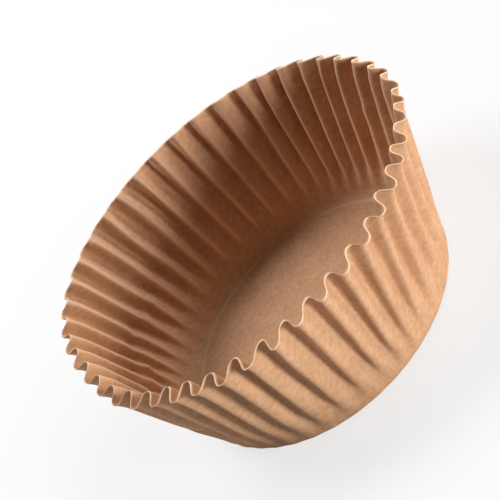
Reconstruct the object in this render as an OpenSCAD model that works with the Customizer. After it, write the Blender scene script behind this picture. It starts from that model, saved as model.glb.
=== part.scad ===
// Fluted cupcake liner: one disc of brown baking paper, pressed into a round floor and a pleated wall.
// The paper does not stretch, so the pleats are as deep as the disc's spare length makes them.
// The liner has been handled: it has sprung open, its rim is a little out of round and leans back.
// It stands on its floor, with the origin under the middle of the floor and +Z up.

/* [Cup] */
// Diameter of the flat disc that the liner is pressed from
disc_d = 113; // [104:0.5:124]
// Mean diameter of the corner where the floor and the wall would meet without a bend
floor_d = 57; // [48:0.5:64]
// Mean diameter of the rim, halfway between its outer and its inner folds
rim_d = 74.5; // [64:0.5:86]
// Radius of the bend between the floor and the wall, at the middle of the paper
bend_r = 3; // [1:0.1:5]

/* [Handling] */
// How far the rim is out of round: its radius along X, less its mean radius
rim_spread = 1.6; // [0:0.1:3]
// How far the corner is out of round: its radius along Y, less its mean radius
floor_spread = 1; // [0:0.1:2]
// How far the middle of the rim lies behind the middle of the floor, along Y
rim_shift = 3.6; // [0:0.1:6]

/* [Pleats] */
// Number of pleats round the wall
pleat_count = 44; // [24:1:56]
// Sharpness of the folds, from a soft wave near 0 to a knife crease near 1
fold_sharpness = 0.85; // [0.1:0.01:0.99]

/* [Paper] */
// Thickness of the paper
paper_t = 0.08; // [0.06:0.01:0.2]

/* [Smoothness] */
// Points along the section of one pleat
pleat_points = 8; // [4:2:8]
// Rows of points round the bend
bend_rows = 2; // [1:1:2]
// Rows of points up the slope
slope_rows = 4; // [3:1:4]

/* [Hidden] */

columns = pleat_count * pleat_points;
rows = bend_rows + slope_rows;
// Rows lie closer together near the bend, where the pleats grow fastest
row_crowding = 1.4;
// Step, in cells of the grid, over which the paper's direction is measured
probe = 0.01;

// Radius of the corner and of the rim in the direction az
function corner_r(az) = floor_d / 2 - floor_spread * cos(2 * az);
function rim_r(az) = rim_d / 2 + rim_spread * cos(2 * az) + rim_shift * sin(az);

// Length of the wall up its slope, and the angle that it leans out from upright
function slope_l(az) = disc_d / 2 - corner_r(az);
function lean(az) = asin((rim_r(az) - corner_r(az)) / slope_l(az));

// Angle through which the paper turns up into the wall, and how far the bend reaches from the corner
function bend_turn(az) = 90 - lean(az);
function bend_reach(az) = bend_r * tan(bend_turn(az) / 2);

// Angle that a row has turned through, and its distance up the slope past the bend
function turned(az, row) = bend_turn(az) * min(row / bend_rows, 1);
function climbed(az, row) =
    (slope_l(az) - bend_reach(az)) * pow(max(row - bend_rows, 0) / slope_rows, row_crowding);

// Radius and height of a row before it is pleated, and its radius on the flat disc
function plain_r(az, row) =
    corner_r(az) - bend_reach(az) + bend_r * sin(turned(az, row)) + climbed(az, row) * sin(lean(az));
function plain_z(az, row) =
    bend_r * (1 - cos(turned(az, row))) + climbed(az, row) * cos(lean(az));
function flat_r(az, row) =
    corner_r(az) - bend_reach(az) + bend_r * turned(az, row) * PI / 180 + climbed(az, row);

// Depth of a pleat from its outer to its inner fold, as a zigzag that takes up the disc's spare length
function pleat_depth(az, row) =
    PI / pleat_count * sqrt(max(pow(flat_r(az, row), 2) - pow(plain_r(az, row), 2), 0));

// Section of the pleats, from -1 at an inner fold to 1 at an outer one
function pleat_wave(az) =
    asin(fold_sharpness * cos(az * pleat_count)) / asin(fold_sharpness);

// Point of the paper's middle surface
function paper_point(column, row) =
    let (
        az = 360 * column / columns,
        swing = pleat_wave(az) * pleat_depth(az, row) / 2,
        r = plain_r(az, row) + swing * sin(turned(az, row)),
        z = plain_z(az, row) - swing * cos(turned(az, row))
    )
    [r * cos(az), r * sin(az), z + paper_t / 2];

// Direction in which the paper's outer side faces: straight down under the floor
function paper_facing(column, row) =
    let (
        round_way = paper_point(column + probe, row) - paper_point(column - probe, row),
        up_way = paper_point(column, row + probe) - paper_point(column, row - probe),
        facing = cross(round_way, up_way)
    )
    row == 0 ? [0, 0, -1] : facing / norm(facing);

// Points of one side of the paper: side is 1 for the outer side and -1 for the inner one
function side_points(side) = [
    for (row = [0 : rows], column = [0 : columns - 1])
        paper_point(column, row) + side * paper_t / 2 * paper_facing(column, row)
];

// Two triangles for one cell of a grid, from its four corners in turn
function cell(a, b, c, d) = [[a, b, c], [a, c, d]];

// Floor and pleated wall in one closed skin
module liner() {
    side_count = (rows + 1) * columns;
    outer = function (row, column) row * columns + column % columns;
    inner = function (row, column) side_count + outer(row, column);

    wall_faces = [
        for (row = [0 : rows - 1], column = [0 : columns - 1])
            each concat(
                cell(
                    outer(row, column), outer(row + 1, column),
                    outer(row + 1, column + 1), outer(row, column + 1)
                ),
                cell(
                    inner(row, column), inner(row, column + 1),
                    inner(row + 1, column + 1), inner(row + 1, column)
                )
            )
    ];
    rim_faces = [
        for (column = [0 : columns - 1])
            each cell(
                outer(rows, column), inner(rows, column),
                inner(rows, column + 1), outer(rows, column + 1)
            )
    ];
    floor_faces = [
        [for (column = [0 : columns - 1]) outer(0, column)],
        [for (column = [columns - 1 : -1 : 0]) inner(0, column)]
    ];

    color([0.76, 0.56, 0.38])
        polyhedron(
            points = concat(side_points(1), side_points(-1)),
            faces = concat(wall_faces, rim_faces, floor_faces)
        );
}

liner();
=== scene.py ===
import bpy
import numpy as np
from mathutils import Matrix, Vector


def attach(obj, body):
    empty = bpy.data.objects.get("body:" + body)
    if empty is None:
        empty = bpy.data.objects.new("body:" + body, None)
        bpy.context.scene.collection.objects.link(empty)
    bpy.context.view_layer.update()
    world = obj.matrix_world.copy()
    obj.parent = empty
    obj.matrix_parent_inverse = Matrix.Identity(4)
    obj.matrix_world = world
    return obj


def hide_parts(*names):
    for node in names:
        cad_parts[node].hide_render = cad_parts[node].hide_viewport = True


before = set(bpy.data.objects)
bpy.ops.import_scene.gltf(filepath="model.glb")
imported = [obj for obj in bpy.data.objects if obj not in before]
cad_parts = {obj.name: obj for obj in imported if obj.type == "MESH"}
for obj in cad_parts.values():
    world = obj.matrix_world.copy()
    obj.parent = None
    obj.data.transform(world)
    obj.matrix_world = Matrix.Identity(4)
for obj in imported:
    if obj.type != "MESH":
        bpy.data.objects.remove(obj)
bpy.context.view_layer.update()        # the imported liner, whose one body is root
mm = 0.001
scene = bpy.context.scene


# The liner: one disc of paper, pressed into a floor and a pleated wall

liner = {
    "discDiameter": 113 * mm,      # the flat disc that the liner is pressed from
    "floorDiameter": 57 * mm,      # out to the corner where floor and wall would meet without a bend
    "rimDiameter": 73.5 * mm,      # halfway between outer and inner folds, if the wall were straight
    "bendRadius": 2 * mm,
    "rimSpread": 1.6 * mm,         # the rim is longer along X
    "floorSpread": 1 * mm,         # the corner is longer along Y
    "rimShift": 3.6 * mm,          # the rim's middle lies back along Y
    "discStretch": 0.45 * mm,      # the disc reaches this much further at stretchSide and opposite it
    "stretchSide": 98,             # azimuth in degrees
    "flare": 12,                   # degrees by which the wall leans out further at the rim
    "flareHeight": 5 * mm,         # over this much of the wall below the rim
    "lip": 85,                     # degrees by which the very edge turns out further, most at lipSide
    "lipHeight": 1.2 * mm,
    "lipSide": -80,                # azimuth in degrees
    "lipWide": 50,
    "lipSink": 0.75,               # an edge turned out by one lipHeight would sink by this share of it
    "paper": 0.08 * mm,
    "pleats": 44,
    "pointsPerPleat": 16,
    "floorRows": 8,
    "bendRows": 7,
    "slopeRows": 30,
    "rowCrowding": 1.3,            # slope rows lie closer together near the bend
    "rimRows": 14,                 # and there are more of them over the last rimShare of the slope
    "rimShare": 0.12,
    "foldRoundness": 0.95,         # from a plain wave near 0 to broad flat-topped folds at 1.5
    "rimCurl": 0.5,                # the folds curl into loops at the rim, whose sides are upright at 1
    "curlHeight": 1.6 * mm,        # over this much of the wall below the rim
    "lean": 0.15,                  # share of a pleat by which its outer fold leans over, clockwise
    "deeper": 0.1,                 # share of a pleat's extra width by which it is deeper too
    "lowDepth": 0.30,              # share of the pleats' depth at the bend, pressed flat by the tin
    "fadeShare": 0.28,             # share of the slope over which the pleats come to their full depth
    "foldFade": 1 * mm,            # added to the distance from a fold at the bend, to end its painted highlight
    "firstFold": 5.1,              # degrees from +X to the nearest outer fold
    "depthChange": 0.06,           # share by which pleats differ in depth
    "foldWander": 0.0040,          # radians by which folds stray from even spacing
    "foldSway": 0.0045,            # radians by which a fold bends on its way up
    "swayBends": 2.2,              # half waves that it makes on its way up
    "wallWaver": 0.20 * mm,        # slow swell of the wall in and out
    "floorWaver": 0.04 * mm,       # the floor isn't quite flat
}

# the pleats are wider on the side that was drawn open. Each line widens them by a share, in waves round
# the circle, the most at its side, in degrees round the flat disc
spacing = [
    {"waves": 1, "share": 0.144, "side": -107.5},
    {"waves": 2, "share": 0.051, "side": -72.1},
    {"waves": 3, "share": 0.080, "side": 37.3},
    {"waves": 4, "share": 0.068, "side": -9.9},
]

# where the folds run slantwise: their azimuth at the floor is that at the rim plus turn, in degrees. The
# folds there are moved along by shift at every height
foldTurns = [
    {"azimuth": -48, "wide": 31, "turn": -13, "shift": 0},
    {"azimuth": 20, "wide": 30, "turn": 8, "shift": 0},
    {"azimuth": 124, "wide": 34, "turn": 0, "shift": 1.9},
    {"azimuth": 168, "wide": 24, "turn": -5, "shift": 0},
]

# where the pleats are shallower, by a share of their depth
shallows = [
    {"azimuth": -6, "wide": 24, "share": 0.40},
    {"azimuth": -72, "wide": 24, "share": 0.16},
]

# where the rim has been pushed in: azimuth and width in degrees
rimPushes = [
    {"azimuth": 171, "wide": 27, "deep": 3.1 * mm},
    {"azimuth": -70, "wide": 30, "deep": 0.6 * mm},
]

# where the wall has been pushed in, or out where deep is negative: its azimuth, and its place up the slope
dents = [
    {"azimuth": 128, "share": 0.40, "wide": 6, "tall": 0.035, "deep": 0.55 * mm},
    {"azimuth": 142, "share": 0.47, "wide": 7, "tall": 0.035, "deep": -0.55 * mm},
    {"azimuth": 158, "share": 0.38, "wide": 7, "tall": 0.04, "deep": 0.60 * mm},
    {"azimuth": 176, "share": 0.44, "wide": 6, "tall": 0.035, "deep": -0.50 * mm},
    {"azimuth": 204, "share": 0.36, "wide": 7, "tall": 0.05, "deep": 0.35 * mm},
    {"azimuth": 318, "share": 0.55, "wide": 6, "tall": 0.06, "deep": 0.25 * mm},
    {"azimuth": 74, "share": 0.50, "wide": 7, "tall": 0.06, "deep": -0.30 * mm},
    {"azimuth": 20, "share": 0.62, "wide": 5, "tall": 0.05, "deep": 0.25 * mm},
]

# uneven swells round the circle: each adds up waves of every number from fewest to most, from its own seed
swells = {
    "pleatDepth": {"fewest": 9, "most": 40, "seed": 3},
    "wallWaver": {"fewest": 2, "most": 9, "seed": 5},
    "foldWander": {"fewest": 4, "most": 19, "seed": 7},
    "foldSway": {"fewest": 7, "most": 24, "seed": 11},
    "floorWaver": {"fewest": 2, "most": 6, "seed": 13},
}
swellSizes = (0.5, 1.5)            # the size of each wave is drawn from this range


def ripple(angle, name):
    # a sum of cosines with each whole number of waves round the circle, scaled to a root mean square of 1
    swell = swells[name]
    dice = np.random.default_rng(swell["seed"])
    waves = np.arange(swell["fewest"], swell["most"] + 1)
    start = dice.uniform(0, 2 * np.pi, len(waves))
    size = dice.uniform(*swellSizes, len(waves))
    total = (size * np.cos(np.multiply.outer(angle, waves) + start)).sum(axis=-1)
    return total / np.sqrt((size ** 2).sum() / 2)


def smoothStep(share):
    # 0 below 0, 1 above 1, and three squares less two cubes between
    share = np.clip(share, 0, 1)
    return share * share * (3 - 2 * share)


def easedReach(share):
    # how far an edge has moved out when its angle grows as smoothStep: the cube less half the fourth power
    return share ** 3 - share ** 4 / 2


def bump(azimuth, middle, wide):
    # 1 at the middle, falling as a bell curve whose width is in degrees, the short way round the circle
    away = np.angle(np.exp(1j * (azimuth - np.radians(middle))))
    return np.exp(-(away / np.radians(wide)) ** 2)


def spacedFolds(fold, up, piece):
    # the azimuth of a fold, and the share by which its pleat is wider. The azimuth is the fold's angle on
    # the disc plus a sine for each line of spacing, turned by a bump for each line of foldTurns. The extra
    # width is a cosine for each line of spacing, and grows up the slope
    wider = 0
    moved = 0
    for change in spacing:
        angle = change["waves"] * (fold - np.radians(change["side"]))
        wider = wider + change["share"] * np.cos(angle) * up
        moved = moved + change["share"] * np.sin(angle) / change["waves"]
    azimuth = fold + moved + np.radians(piece["firstFold"])
    slant = 0
    for turned in foldTurns:
        amount = np.radians(turned["turn"] * (1 - up) + turned["shift"])
        slant = slant + amount * bump(azimuth, turned["azimuth"], turned["wide"])
    return azimuth + slant, wider


def plainWall(azimuth, row, up, piece):
    # the cup without its pleats, whose section is a level line, an arc and a line that leans out to the rim.
    # Each point has its radius and height, the angle by which the paper has turned up, the paper's length
    # from the floor's middle, and the length that is left to the rim
    corner = piece["floorDiameter"] / 2 - piece["floorSpread"] * np.cos(2 * azimuth)
    rim = piece["rimDiameter"] / 2 + piece["rimSpread"] * np.cos(2 * azimuth)
    rim = rim + piece["rimShift"] * np.sin(azimuth)
    for push in rimPushes:
        rim = rim - push["deep"] * bump(azimuth, push["azimuth"], push["wide"])
    disc = piece["discDiameter"] / 2
    disc = disc + piece["discStretch"] * np.cos(azimuth - np.radians(piece["stretchSide"])) ** 2
    slope = disc - corner
    splay = np.arcsin((rim - corner) / slope)
    reach = piece["bendRadius"] * np.tan((np.pi / 2 - splay) / 2)
    across = (corner - reach) * np.clip(row, 0, 1)
    turn = (np.pi / 2 - splay) * np.clip(row - 1, 0, 1)
    climb = (slope - reach) * up
    radius = across + piece["bendRadius"] * np.sin(turn) + climb * np.sin(splay)
    height = piece["bendRadius"] * (1 - np.cos(turn)) + climb * np.cos(splay)
    flat = across + piece["bendRadius"] * turn + climb
    below = (slope - reach) * (1 - up)
    return radius, height, turn, flat, below


def turnedRim(azimuth, onSlope, below, piece):
    # how the wall leans out further near the rim: the flare's angle, how far flare and lip carry the paper
    # outward, and how far the lip sinks. Outward is angle times height times easedReach, and the lip sinks
    # by the square of its own reach
    flare = np.radians(piece["flare"])
    flaring = np.clip(1 - below / piece["flareHeight"], 0, 1) * onSlope
    outward = flare * piece["flareHeight"] * easedReach(flaring)
    lipping = np.clip(1 - below / piece["lipHeight"], 0, 1) * onSlope
    lip = np.radians(piece["lip"]) * bump(azimuth, piece["lipSide"], piece["lipWide"])
    lip = lip * easedReach(lipping)
    outward = outward + lip * piece["lipHeight"]
    sunk = piece["lipSink"] * lip ** 2 * piece["lipHeight"]
    return flare * smoothStep(flaring), outward, sunk


def pleatDepth(fold, azimuth, up, spare, wider, piece):
    # from outer to inner fold, a pleat is as deep as takes up the disc's spare length: pi over the number
    # of pleats, times the root of flat length squared less radius squared, which is spare. Pleats are
    # shallower in the bend and deeper where they are wider
    full = piece["lowDepth"] + (1 - piece["lowDepth"]) * smoothStep(up / piece["fadeShare"])
    depth = np.pi / piece["pleats"] * spare * full * (1 + piece["deeper"] * wider)
    depth = depth * (1 + piece["depthChange"] * ripple(fold, "pleatDepth"))
    for place in shallows:
        depth = depth * (1 - place["share"] * bump(azimuth, place["azimuth"], place["wide"]))
    return depth


def foldDrift(fold, up, wave, wider, atRim, piece):
    # the angle by which the paper moves round the cup. Outer folds lean over by a share of their pleat. All
    # folds stray from even spacing and bend on their way up, and a double wave curls them at the rim
    lean = -piece["lean"] * smoothStep(up / piece["fadeShare"]) * (1 + wave) / 2
    lean = lean * 2 * np.pi / piece["pleats"] * (1 + wider)
    stray = piece["foldWander"] * np.sqrt(up) * ripple(fold, "foldWander")
    sway = piece["foldSway"] * up * np.sin(piece["swayBends"] * np.pi * up) * ripple(fold, "foldSway")
    curl = piece["rimCurl"] * atRim * np.sin(2 * piece["pleats"] * fold) / (2 * piece["pleats"])
    return lean + stray + sway + curl


def sheetShape(fold, row, piece):
    # the middle of the paper's thickness, and the length of paper from the floor's middle. fold is an angle
    # round the disc; row is 0 to 1 over the floor, 1 to 2 round the bend and 2 to 3 up the slope. Each point
    # of the plain wall swings along the wall's own normal, by half the pleat's depth times a rounded zigzag
    # and by what rim, waver and dents add. It then drifts round the cup with its fold
    onSlope = row > 2
    up = np.clip(row - 2, 0, 1) ** piece["rowCrowding"]
    azimuth, wider = spacedFolds(fold, up, piece)
    radius, height, turn, flat, below = plainWall(azimuth, row, up, piece)
    flare, outward, sunk = turnedRim(azimuth, onSlope, below, piece)
    turn = turn - flare

    spare = np.sqrt(np.maximum(flat ** 2 - radius ** 2, 0))
    depth = pleatDepth(fold, azimuth, up, spare, wider, piece)
    wave = np.cos(piece["pleats"] * fold)
    zigzag = np.sin(piece["foldRoundness"] * wave) / np.sin(piece["foldRoundness"])
    swing = depth / 2 * zigzag + outward + piece["wallWaver"] * up * ripple(fold, "wallWaver")
    for dent in dents:
        above = (up - dent["share"]) / dent["tall"]
        swing = swing - dent["deep"] * bump(azimuth, dent["azimuth"], dent["wide"]) * np.exp(-above ** 2)

    atRim = smoothStep(1 - below / piece["curlHeight"]) * onSlope
    azimuth = azimuth + foldDrift(fold, up, wave, wider, atRim, piece)
    onFloor = np.sin(np.pi * np.clip(row, 0, 1)) ** 2
    bulge = piece["floorWaver"] * onFloor * ripple(fold, "floorWaver") ** 2
    r = radius + swing * np.sin(turn) - sunk * np.cos(turn)
    z = height - swing * np.cos(turn) - sunk * np.sin(turn) + bulge + piece["paper"] / 2
    return np.stack([r * np.cos(azimuth), r * np.sin(azimuth), z], axis=-1), flat


def sheetNormals(place):
    # the cross product of the step round a row and the step up a column, at length 1
    around = np.roll(place, -1, axis=1) - np.roll(place, 1, axis=1)
    upward = np.gradient(place, axis=0)
    normal = np.cross(around, upward)
    return normal / np.linalg.norm(normal, axis=-1, keepdims=True)


def gridFaces(rows, columns, first):
    # a quad for each cell of a grid that closes round its columns. Its normal is round crossed with up
    corner = first + np.arange(rows * columns).reshape(rows, columns)
    beside = np.roll(corner, -1, axis=1)
    return np.stack([corner[:-1], beside[:-1], beside[1:], corner[1:]], axis=-1).reshape(-1, 4)


def shellFaces(rows, columns):
    # the outer and the inner grid, a fan of triangles that closes each at the floor's middle, which is the
    # last point of its side, and as the last faces the quads of the cut edge between both sides
    count = rows * columns
    innerFirst = count + 1
    outerFaces = gridFaces(rows, columns, 0)
    innerFaces = gridFaces(rows, columns, innerFirst)[:, ::-1]
    middle = np.full(columns, count)
    ring = np.arange(columns)
    nextRing = np.roll(ring, -1)
    underFan = np.stack([nextRing, ring, middle], axis=-1)
    overFan = np.stack([ring, nextRing, middle], axis=-1) + innerFirst
    edge = np.arange(count - columns, count)
    nextEdge = np.roll(edge, -1)
    cutFaces = np.stack([edge, nextEdge, nextEdge + innerFirst, edge + innerFirst], axis=-1)
    faces = []
    for group in (outerFaces, innerFaces, underFan, overFan, cutFaces):
        faces += group.tolist()
    return faces


def addAttribute(made, name, kind, values):
    # a value for each point: a vector of three, or one number
    field = made.data.attributes.new(name, kind, "POINT")
    key = "vector" if kind == "FLOAT_VECTOR" else "value"
    field.data.foreach_set(key, np.ascontiguousarray(values, np.float32).ravel())


def markPaper(made, fold, row, flat, piece):
    # what the finish reads: the place on the flat disc, and the distance to the cut edge, to the floor's
    # crease and, on the inner side only, to the nearest inner fold. The distances to cut edge and inner fold
    # place painted highlights. At the floor's middle each is a metre
    onDisc = np.stack([flat * np.cos(fold), flat * np.sin(fold), 0 * flat], axis=-1).reshape(-1, 3)
    # the distance to the cut edge places a painted highlight along it
    fromRim = (flat[-1:] - flat).ravel()
    fromCrease = (flat - flat[row[:, 0] == 1]).ravel()
    # the distance to the nearest inner fold places a painted highlight along its ridge
    offFold = np.abs(np.angle(-np.exp(1j * piece["pleats"] * fold))) / piece["pleats"]
    unfolded = 1 - smoothStep((row - 2) / piece["fadeShare"])
    fromFold = (flat * offFold + unfolded * piece["foldFade"]).ravel()
    middle = [[0, 0, 0]]
    farAway = np.ones(1)
    noFolds = np.ones(len(fromFold) + 1)
    addAttribute(made, "onDisc", "FLOAT_VECTOR", np.concatenate([onDisc, middle, onDisc, middle]))
    addAttribute(made, "fromRim", "FLOAT", np.concatenate([fromRim, farAway, fromRim, farAway]))
    addAttribute(made, "fromCrease", "FLOAT", np.concatenate([fromCrease, -farAway, fromCrease, -farAway]))
    addAttribute(made, "fromFold", "FLOAT", np.concatenate([noFolds, fromFold, farAway]))


def makeLiner(piece):
    # both sides of the sheet lie half the paper's thickness from its middle, along its normal
    columns = piece["pleats"] * piece["pointsPerPleat"]
    fold = np.linspace(0, 2 * np.pi, columns, endpoint=False)[None, :]
    row = np.concatenate([
        np.linspace(0, 1, piece["floorRows"], endpoint=False)[1:],
        np.linspace(1, 2, piece["bendRows"], endpoint=False),
        np.linspace(2, 3 - piece["rimShare"], piece["slopeRows"], endpoint=False),
        np.linspace(3 - piece["rimShare"], 3, piece["rimRows"] + 1),
    ])[:, None]
    place, flat = sheetShape(fold, row, piece)
    normal = sheetNormals(place)
    half = piece["paper"] / 2
    outerSide = (place + half * normal).reshape(-1, 3)
    innerSide = (place - half * normal).reshape(-1, 3)
    points = np.concatenate([outerSide, [[0, 0, 0]], innerSide, [[0, 0, piece["paper"]]]])

    faces = shellFaces(len(row), columns)
    mesh = bpy.data.meshes.new("paperLiner")
    mesh.from_pydata(points.tolist(), [], faces)
    smooth = np.ones(len(faces), bool)
    smooth[-columns:] = False      # the cut edge keeps its two corners
    mesh.polygons.foreach_set("use_smooth", smooth)
    mesh.update()
    made = bpy.data.objects.new("paperLiner", mesh)
    scene.collection.objects.link(made)
    markPaper(made, fold, row, flat, piece)
    return made


# The paper's finish: unbleached, matt, with a mottle of fibres, and painted highlights along the cut edge
# and the inner folds

paper = {
    "darkColour": (0.45, 0.252, 0.138),
    "lightColour": (0.655, 0.388, 0.226),
    "edgeHighlightColour": (0.90, 0.66, 0.46),      # painted highlight along the cut edge
    "creaseColour": (0.66, 0.41, 0.25),    # round the floor
    "foldHighlightColour": (0.70, 0.43, 0.275),     # painted highlight along the ridges of the inner folds, on the inner side
    "edgeHighlightWidth": 0.34 * mm,        # these colours fade out over this much on either side
    "creaseWidth": 0.60 * mm,
    "foldHighlightWidth": 0.85 * mm,
    "cloudSize": 5 * mm,
    "mottleSize": 0.9 * mm,
    "grainSize": 0.28 * mm,
    "noiseDetail": 2,
    "fibreLength": 2.6 * mm,
    "fibreWidth": 0.17 * mm,
    "fibreDetail": 1,
    "fibreBend": 0.5,
    "fibreTurns": (0.35, 1.3, 2.4),    # radians: three layers of fibres lie in three directions
    "cloudShare": 0.22,
    "mottleShare": 0.36,
    "grainShare": 0.15,
    "fibreShare": 0.09,            # of each layer of fibres
    "toneRange": (0.37, 0.63),     # mixed noise at which the colour is darkest and lightest
    "roughness": 0.85,
    "specular": 0.20,
    "bumpHeight": 0.032 * mm,
}


def addNode(tree, kind, inputs=None, **settings):
    # inputs gives a number, a vector or another node's socket for each input by its name or place
    node = tree.nodes.new("ShaderNode" + kind)
    for name, value in settings.items():
        setattr(node, name, value)
    for key, value in (inputs or {}).items():
        if isinstance(value, bpy.types.NodeSocket):
            tree.links.new(value, node.inputs[key])
        else:
            node.inputs[key].default_value = value
    return node


def mixColours(tree, share, first, second):
    # first where share is 0, second where it is 1. Of the node's many sockets, 6 and 7 take its colours
    return addNode(tree, "Mix", {0: share, 6: first, 7: second}, data_type="RGBA").outputs[2]


def band(tree, name, width):
    # 1 where the attribute is 0, falling smoothly to 0 at the width on either side
    distance = addNode(tree, "Attribute", attribute_name=name).outputs["Fac"]
    size = addNode(tree, "Math", {0: distance}, operation="ABSOLUTE").outputs[0]
    return addNode(tree, "MapRange", {
        "Value": size, "From Min": 0, "From Max": width, "To Min": 1, "To Max": 0,
    }, interpolation_type="SMOOTHSTEP").outputs[0]


def paperTone(tree, finish):
    # a sum of noises on the flat disc, each times its share: clouds, mottle, grain and layers of fibres
    onDisc = addNode(tree, "Attribute", attribute_name="onDisc").outputs["Vector"]
    layers = []
    for size, share in (
        (finish["cloudSize"], finish["cloudShare"]),
        (finish["mottleSize"], finish["mottleShare"]),
        (finish["grainSize"], finish["grainShare"]),
    ):
        noise = addNode(tree, "TexNoise", {
            "Vector": onDisc, "Scale": 1 / size, "Detail": finish["noiseDetail"],
        })
        layers.append((noise.outputs["Fac"], share))
    for turn in finish["fibreTurns"]:
        drawn = addNode(tree, "Mapping", {
            "Vector": onDisc,
            "Rotation": (0, 0, turn),
            "Scale": (1 / finish["fibreLength"], 1 / finish["fibreWidth"], 1),
        }).outputs["Vector"]
        fibres = addNode(tree, "TexNoise", {
            "Vector": drawn, "Scale": 1, "Detail": finish["fibreDetail"], "Distortion": finish["fibreBend"],
        })
        layers.append((fibres.outputs["Fac"], finish["fibreShare"]))
    tone = 0
    for field, share in layers:
        tone = addNode(tree, "Math", {0: field, 1: share, 2: tone}, operation="MULTIPLY_ADD").outputs[0]
    return tone


def makePaper(finish):
    # the tone picks a colour from dark to light; over it go painted highlights along the inner folds and the
    # cut edge, and a paler line along the floor's crease
    material = bpy.data.materials.new("unbleachedPaper")
    material.use_nodes = True
    tree = material.node_tree
    shader = tree.nodes["Principled BSDF"]
    tone = paperTone(tree, finish)
    darkest, lightest = finish["toneRange"]
    spread = addNode(tree, "MapRange", {
        "Value": tone, "From Min": darkest, "From Max": lightest,
    }).outputs[0]
    colour = mixColours(tree, spread, (*finish["darkColour"], 1), (*finish["lightColour"], 1))
    # painted highlights along the inner folds' ridges and the cut edge, and a paler line along the floor's
    # crease
    for attribute, width, pale in (
        ("fromFold", finish["foldHighlightWidth"], finish["foldHighlightColour"]),
        ("fromCrease", finish["creaseWidth"], finish["creaseColour"]),
        ("fromRim", finish["edgeHighlightWidth"], finish["edgeHighlightColour"]),
    ):
        colour = mixColours(tree, band(tree, attribute, width), colour, (*pale, 1))
    tree.links.new(colour, shader.inputs["Base Color"])
    relief = addNode(tree, "Bump", {"Height": tone, "Strength": 1, "Distance": finish["bumpHeight"]})
    tree.links.new(relief.outputs["Normal"], shader.inputs["Normal"])
    shader.inputs["Roughness"].default_value = finish["roughness"]
    shader.inputs["Specular IOR Level"].default_value = finish["specular"]
    return material


paperLiner = makeLiner(liner)
paperLiner.data.materials.append(makePaper(paper))
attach(paperLiner, "root")
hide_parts("liner")
print("liner made:", len(paperLiner.data.polygons), "faces")


# The floor, the sky, the lamps and the camera

stage = {
    "floorSize": 6,
    "floorColour": (0.82, 0.82, 0.82),
    "whiteNear": 0.75,             # share of plain white that the camera sees in the floor by the liner
    "fadeStart": 0.04,             # distance from the middle at which the floor starts to turn all white
    "fadeEnd": 0.10,
    "skyStrength": 0.04,
}


def seenDirectly(tree):
    # 1 for camera, glossy and transmission rays, and 0 for those that light the scene
    path = addNode(tree, "LightPath")
    rays = [path.outputs[name] for name in ("Is Camera Ray", "Is Glossy Ray", "Is Transmission Ray")]
    total = addNode(tree, "Math", {0: rays[0], 1: rays[1]}, operation="ADD").outputs[0]
    return addNode(tree, "Math", {0: total, 1: rays[2]}, operation="ADD", use_clamp=True).outputs[0]


def makeFloor(settings):
    # a flat square of side floorSize at height 0. It is diffuse to the lights, and turns white with the
    # distance from its middle where it is looked at
    half = settings["floorSize"] / 2
    corners = [(-half, -half, 0), (half, -half, 0), (half, half, 0), (-half, half, 0)]
    mesh = bpy.data.meshes.new("floor")
    mesh.from_pydata(corners, [], [(0, 1, 2, 3)])
    floor = bpy.data.objects.new("floor", mesh)
    scene.collection.objects.link(floor)
    material = bpy.data.materials.new("paleFloor")
    material.use_nodes = True
    tree = material.node_tree
    tree.nodes.remove(tree.nodes["Principled BSDF"])
    where = addNode(tree, "TexCoord").outputs["Object"]
    away = addNode(tree, "VectorMath", {0: where}, operation="LENGTH").outputs["Value"]
    white = addNode(tree, "MapRange", {
        "Value": away,
        "From Min": settings["fadeStart"],
        "From Max": settings["fadeEnd"],
        "To Min": settings["whiteNear"],
        "To Max": 1,
    }, interpolation_type="SMOOTHSTEP").outputs[0]
    share = addNode(tree, "Math", {0: white, 1: seenDirectly(tree)}, operation="MULTIPLY").outputs[0]
    diffuse = addNode(tree, "BsdfDiffuse", {"Color": (*settings["floorColour"], 1)}).outputs["BSDF"]
    plain = addNode(tree, "Emission", {"Color": (1, 1, 1, 1), "Strength": 1}).outputs["Emission"]
    mixed = addNode(tree, "MixShader", {0: share, 1: diffuse, 2: plain}).outputs["Shader"]
    tree.links.new(mixed, tree.nodes["Material Output"].inputs["Surface"])
    floor.data.materials.append(material)


def makeSky(settings):
    # an even white sky, at skyStrength for the rays that light the scene and at 1 where it is looked at
    world = bpy.data.worlds.new("whiteSky")
    world.use_nodes = True
    scene.world = world
    tree = world.node_tree
    strength = addNode(tree, "MapRange", {
        "Value": seenDirectly(tree), "To Min": settings["skyStrength"], "To Max": 1,
    }).outputs[0]
    background = tree.nodes["Background"]
    background.inputs["Color"].default_value = (1, 1, 1, 1)
    tree.links.new(strength, background.inputs["Strength"])


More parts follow.
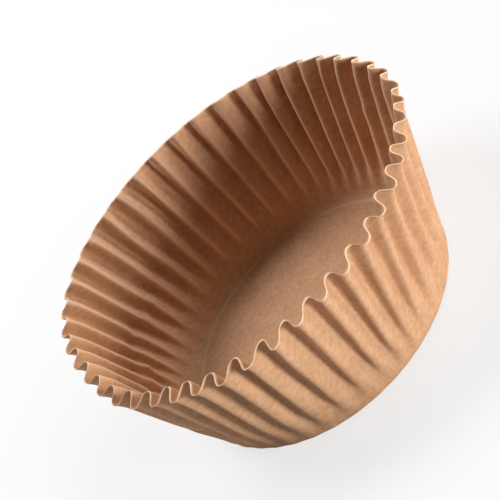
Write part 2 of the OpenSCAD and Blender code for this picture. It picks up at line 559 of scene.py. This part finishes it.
# azimuth and elevation in degrees and distance in metres from the camera's target, power in watts
lamps = [
    {"name": "rightLamp", "azimuth": -57, "elevation": 4, "distance": 0.6, "size": 0.18, "power": 3.9,
     "colour": (1, 0.98, 0.95)},
    {"name": "farRightLamp", "azimuth": -8, "elevation": 14, "distance": 0.6, "size": 0.2, "power": 1.1,
     "colour": (1, 0.98, 0.95)},
    {"name": "leftLamp", "azimuth": 120, "elevation": 48, "distance": 0.6, "size": 0.25, "power": 3.2,
     "colour": (1, 0.95, 0.95)},
    {"name": "farLamp", "azimuth": 25, "elevation": 42, "distance": 0.6, "size": 0.25, "power": 1.2,
     "colour": (0.93, 0.97, 1)},
]


def makeLamp(lamp, target):
    # a square area light at its distance from the target, turned to face it
    light = bpy.data.lights.new(lamp["name"], "AREA")
    light.size = lamp["size"]
    light.energy = lamp["power"]
    light.color = lamp["colour"]
    made = bpy.data.objects.new(lamp["name"], light)
    azimuth = np.radians(lamp["azimuth"])
    elevation = np.radians(lamp["elevation"])
    flat = np.cos(elevation)
    way = Vector((flat * np.cos(azimuth), flat * np.sin(azimuth), np.sin(elevation)))
    made.rotation_euler = way.to_track_quat("Z", "Y").to_euler()
    made.location = target + way * lamp["distance"]
    scene.collection.objects.link(made)


camera = {
    "target": Vector((0, 3 * mm, 20 * mm)),
    "elevation": 34,               # degrees above the floor, looking along +Y
    "roll": -45.8,                 # degrees: the liner lies tilted in the picture
    "distance": 1.224,
    "lens": 495,
    "sensor": 36,
    "nearest": 0.01,               # what lies nearer than this, or beyond farthest, isn't drawn
    "farthest": 20,
}


def makeCamera(settings):
    # the camera's right and up start level, and are turned by the roll about the way back to the camera
    elevation = np.radians(settings["elevation"])
    roll = np.radians(settings["roll"])
    back = np.array([0, -np.cos(elevation), np.sin(elevation)])
    level = np.array([1, 0, 0])
    above = np.cross(back, level)
    right = np.cos(roll) * level + np.sin(roll) * above
    up = np.cos(roll) * above - np.sin(roll) * level
    lens = bpy.data.cameras.new("camera")
    lens.lens = settings["lens"]
    lens.sensor_width = settings["sensor"]
    lens.clip_start = settings["nearest"]
    lens.clip_end = settings["farthest"]
    made = bpy.data.objects.new("camera", lens)
    place = settings["target"] + Vector(back) * settings["distance"]
    turned = Matrix(np.stack([right, up, back], axis=1).tolist()).to_4x4()
    made.matrix_world = Matrix.Translation(place) @ turned
    scene.collection.objects.link(made)
    scene.camera = made


makeFloor(stage)
makeSky(stage)
for lamp in lamps:
    makeLamp(lamp, camera["target"])
makeCamera(camera)
scene.view_settings.view_transform = "Standard"
print("floor, lights and camera made")

bpy.context.view_layer.update()
